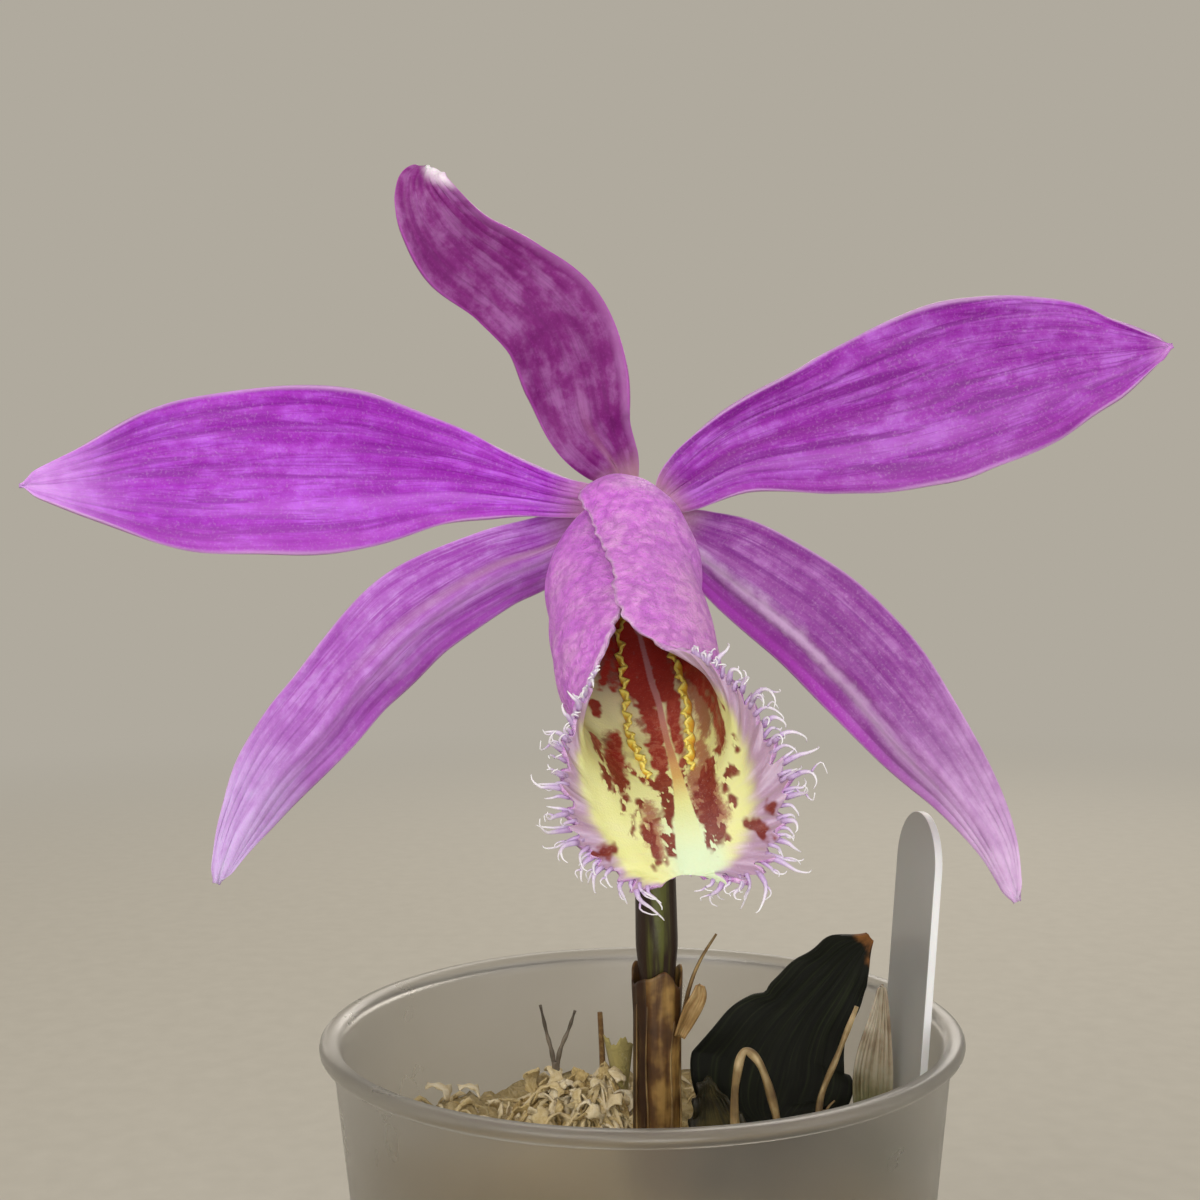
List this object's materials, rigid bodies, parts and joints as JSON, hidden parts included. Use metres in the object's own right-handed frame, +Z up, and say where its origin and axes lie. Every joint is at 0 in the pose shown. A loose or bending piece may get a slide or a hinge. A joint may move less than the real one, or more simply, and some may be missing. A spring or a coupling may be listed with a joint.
{
  "type": "potted pleione orchid",
  "caption": "Dwarf orchid in flower: spread purple tepals, a tubular fringed lip with crests, a dark stem in a papery sheath, an old leaf and a label, in moss in a frosted round pot.",
  "frame": {"origin": "centre of the underside of the pot, on the surface it stands on", "axes": "+Z up out of the pot; the flower looks towards -Y; +X is to the right of someone who faces the flower"},
  "size_m": [0.104, 0.0649, 0.1375],
  "materials": {
    "pot_plastic": "frosted, half see-through polypropylene",
    "sphagnum": "dry, pale, fibrous moss",
    "tepal": "soft satin petal, veined",
    "sepal_dorsal": "soft satin sepal, darker",
    "lip_tissue": "soft satin, lilac outside, pale yellow with maroon marks inside",
    "keel_tissue": "waxy yellow",
    "column_tissue": "waxy pale lilac",
    "stem": "smooth, dark purple-brown and green",
    "papery_sheath": "dry, papery, brown",
    "pale_sheath": "dry, papery, pale, fibrous",
    "leaf_tissue": "dull, nearly black green",
    "bulb_tissue": "smooth, dark green, fleshy",
    "dead_fibre": "dry, brown, fibrous",
    "label_plastic": "plain, slightly glossy sheet plastic"
  },
  "bodies": {
    "root": {"pot": "pot_plastic", "moss": "sphagnum", "scape": "stem", "basal_sheath": "papery_sheath", "ovary": "stem", "column": "column_tissue", "lip": "lip_tissue", "keel_left": "keel_tissue", "keel_right": "keel_tissue", "dorsal_sepal": "sepal_dorsal", "petal_left": "tepal", "petal_right": "tepal", "lateral_sepal_left": "tepal", "lateral_sepal_right": "tepal", "pseudobulb": "bulb_tissue", "leaf": "leaf_tissue", "withered_sheath": "pale_sheath", "dead_root_loop": "dead_fibre", "brown_strand": "dead_fibre", "dead_twig": "dead_fibre", "plant_label": "label_plastic"}
  },
  "joints": []
}
